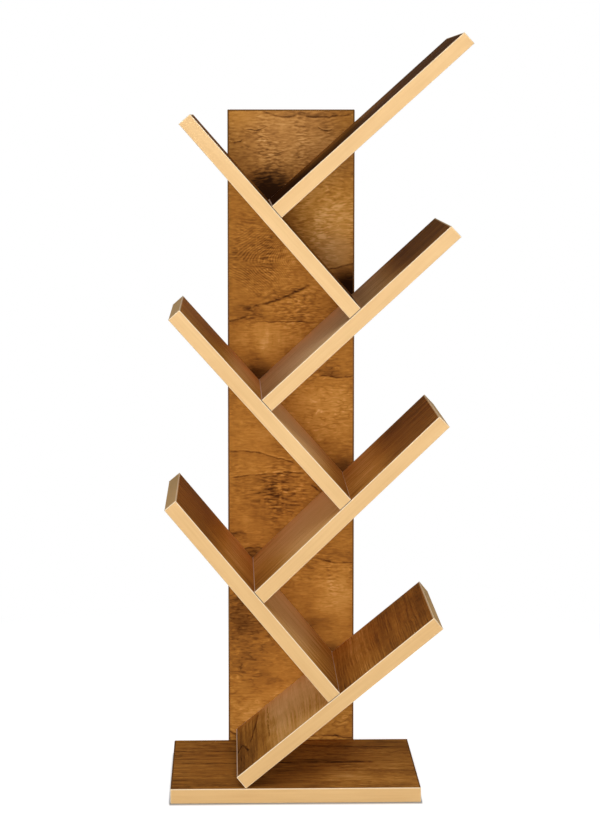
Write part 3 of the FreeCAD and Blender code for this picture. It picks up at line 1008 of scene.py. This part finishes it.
def dress_boards():
    """The printed finish of every board core, each cut from another stretch of the print."""
    starts = (tuple(np.multiply(PRINT_STEP, number)) for number in itertools.count())
    prints = {"trunk_core": trunk_print(next(starts)), "base_core": base_print(next(starts))}
    for shelf in SHELVES:
        prints[f"{shelf}_core"] = shelf_print(shelf, next(starts))
    for node, material in prints.items():
        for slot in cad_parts[node].material_slots:
            slot.material = material


def dress_edges():
    """All edge bands: pale on shelves and the base's front, paler at feet and backs as a painted highlight,
    else brown.
    """
    pale = edging("pale_edging", *PALE_EDGING), "pale_band"
    foot = edging("foot_edging_highlight", *FOOT_EDGING_HIGHLIGHT), "pale_band"
    brown = edging("brown_edging", *BROWN_EDGING), "brown_band"
    starts = (STRIP_STEP * number for number in itertools.count())

    def band(node, axes, plastic, seam_end=0):
        add_edging(node, np.array(axes), *plastic, next(starts), seam_end)

    for shelf in SHELVES:
        slope, back, up = shelf_axes(shelf)
        foot_end = -1 if shelf in RIGHT_SHELVES else 1
        to_tip = -foot_end * slope
        seam_end = 0 if shelf == LOWEST_SHELF else foot_end
        band(f"{shelf}_front_band", (slope, up, -back), pale, seam_end)
        band(f"{shelf}_back_band", (slope, up, back), foot)
        band(f"{shelf}_tip_band", (back, up, to_tip), pale)
        band(f"{shelf}_foot_band", (back, up, -to_tip), foot)
    band("base_front_band", (X_AXIS, Z_AXIS, -Y_AXIS), pale)
    band("base_back_band", (X_AXIS, Z_AXIS, Y_AXIS), brown)
    band("base_left_band", (Y_AXIS, Z_AXIS, -X_AXIS), brown)
    band("base_right_band", (Y_AXIS, Z_AXIS, X_AXIS), brown)
    band("trunk_left_band", (Z_AXIS, Y_AXIS, -X_AXIS), brown)
    band("trunk_right_band", (Z_AXIS, Y_AXIS, X_AXIS), brown)
    band("trunk_top_band", (X_AXIS, Y_AXIS, Z_AXIS), brown)
    band("trunk_lower_band", (X_AXIS, Y_AXIS, -Z_AXIS), brown)


def dress_screws():
    """Screws behind the trunk, and under each shelf that carries another."""
    plating = zinc()
    behind = np.array([X_AXIS, -Z_AXIS, Y_AXIS])
    add_screws("trunk_screws_turned", "trunk_screws", [(behind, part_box("trunk_core")[1].y)], plating)
    seats = []
    for shelf in SHELVES:
        slope, back, up = shelf_axes(shelf)
        under = np.array([slope, -back, -up])
        seats.append((under, (node_points(f"{shelf}_core") @ -up).max()))
    add_screws("shelf_screws_turned", "shelf_screws", seats, plating)


def beside_base(finish, place):
    """How far a place on the floor is from the base's outline, counted longer past the base's ends."""
    low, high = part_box("base_front_band")[0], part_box("base_back_band")[1]
    along, deep, _ = finish.parts(place)
    past_end = finish.sum("SUBTRACT", finish.sum("ABSOLUTE", along), high.x)
    past_end = finish.product(finish.sum("MAXIMUM", past_end, 0.0), END_NARROWING)
    middle, half = (high.y + low.y) / 2, (high.y - low.y) / 2
    past_front = finish.sum("SUBTRACT", finish.sum("ABSOLUTE", finish.sum("SUBTRACT", deep, middle)), half)
    return finish.length(finish.vector(past_end, finish.sum("MAXIMUM", past_front, 0.0), 0.0))


def floor_white():
    """White paint, with a painted shadow beside the base. Where it is seen it glows, and far out it is
    plain white.
    """
    finish = Finish("floor_white")
    place = finish.object_place()
    beside = beside_base(finish, place)
    paint = finish.spread(beside, 0.0, CONTACT_SHADOW_REACH, *CONTACT_SHADOW_GREYS)
    finish.surface(Base_Color=finish.vector(paint, paint, paint), Roughness=0.9, Specular_IOR_Level=0.0)
    seen = finish.seen_rays()
    strength = finish.product(seen, finish.spread(beside, 0.0, GLOW_REACH, 0.0, GLOW))
    glow = finish.node("Emission", {"Color": WHITE, "Strength": strength}).outputs[0]
    near = finish.node("AddShader", {0: finish.shader.outputs[0], 1: glow}).outputs[0]
    plain = finish.node("Emission", {"Color": WHITE, "Strength": 1.0}).outputs[0]
    share = finish.product(finish.spread(finish.length(place), *FLOOR_FADE), seen)
    mixed = finish.node("MixShader", {0: share, 1: near, 2: plain}).outputs[0]
    finish.feed(finish.tree.nodes["Material Output"].inputs["Surface"], mixed)
    return finish.material


def add_floor():
    """A round white floor that keeps the shadow near the object and fades to plain white further out.

    Its points lie on rings at equal steps of the radius, each at (radius cos angle, radius sin angle, 0).
    """
    radius = FLOOR_RADIUS * np.linspace(0.0, 1.0, FLOOR_RINGS + 1)[1:, None]
    angle = np.linspace(0.0, 2 * math.pi, FLOOR_POINTS, endpoint=False)
    height = np.zeros((FLOOR_RINGS, FLOOR_POINTS))
    circles = np.stack([radius * np.cos(angle), radius * np.sin(angle), height], axis=-1)
    index = np.arange(height.size).reshape(height.shape)
    onward = np.roll(index, -1, axis=1)
    quads = np.stack([index[:-1], index[1:], onward[1:], onward[:-1]], axis=-1).reshape(-1, 4).tolist()
    mesh = bpy.data.meshes.new("floor")
    mesh.from_pydata(circles.reshape(-1, 3), [], quads + [index[0].tolist()])
    mesh.materials.append(floor_white())
    floor = bpy.data.objects.new("floor", mesh)
    bpy.context.scene.collection.objects.link(floor)


def add_world():
    """Soft light from all round, and a white background where it is seen."""
    world = bpy.data.worlds.new("studio")
    bpy.context.scene.world = world
    world.use_nodes = True
    sky = Nodes(world.node_tree)
    background = sky.tree.nodes["Background"]
    sky.feed(background.inputs["Color"], WHITE)
    sky.feed(background.inputs["Strength"], sky.spread(sky.seen_rays(), 0.0, 1.0, AMBIENT, 1.0))


def add_lamps():
    """Large soft lamps, each turned to the object."""
    for name, place, aim, (width, height), watts in LAMPS:
        lamp = bpy.data.lights.new(name, "AREA")
        lamp.shape = "RECTANGLE"
        lamp.size, lamp.size_y = width, height
        lamp.energy = watts
        holder = bpy.data.objects.new(name, lamp)
        holder.location = place
        holder.visible_camera = False
        toward = np.subtract(aim, place)
        across = math.hypot(toward[0], toward[1])
        tilt = math.pi / 2 + math.atan2(toward[2], across)
        holder.rotation_euler = (tilt, 0.0, math.atan2(-toward[0], toward[1]))
        bpy.context.scene.collection.objects.link(holder)


def add_camera():
    """The photograph's camera. The sensor's width spans the frame's long side."""
    camera = bpy.data.cameras.new("camera")
    long_side = max(FRAME_PIXELS)
    camera.sensor_width = SENSOR_WIDTH
    camera.lens = FOCAL_PIXELS / long_side * SENSOR_WIDTH
    camera.shift_x = (FRAME_PIXELS[0] / 2 - AXIS_PIXEL[0]) / long_side
    camera.shift_y = (AXIS_PIXEL[1] - FRAME_PIXELS[1] / 2) / long_side
    holder = bpy.data.objects.new("camera", camera)
    holder.location = CAMERA_PLACE
    holder.rotation_euler = [math.radians(turn) for turn in CAMERA_TURN]
    bpy.context.scene.collection.objects.link(holder)
    bpy.context.scene.camera = holder


add_camera()
dress_boards()
dress_edges()
dress_screws()
add_floor()
add_world()
add_lamps()
bpy.context.scene.view_settings.view_transform = "Standard"
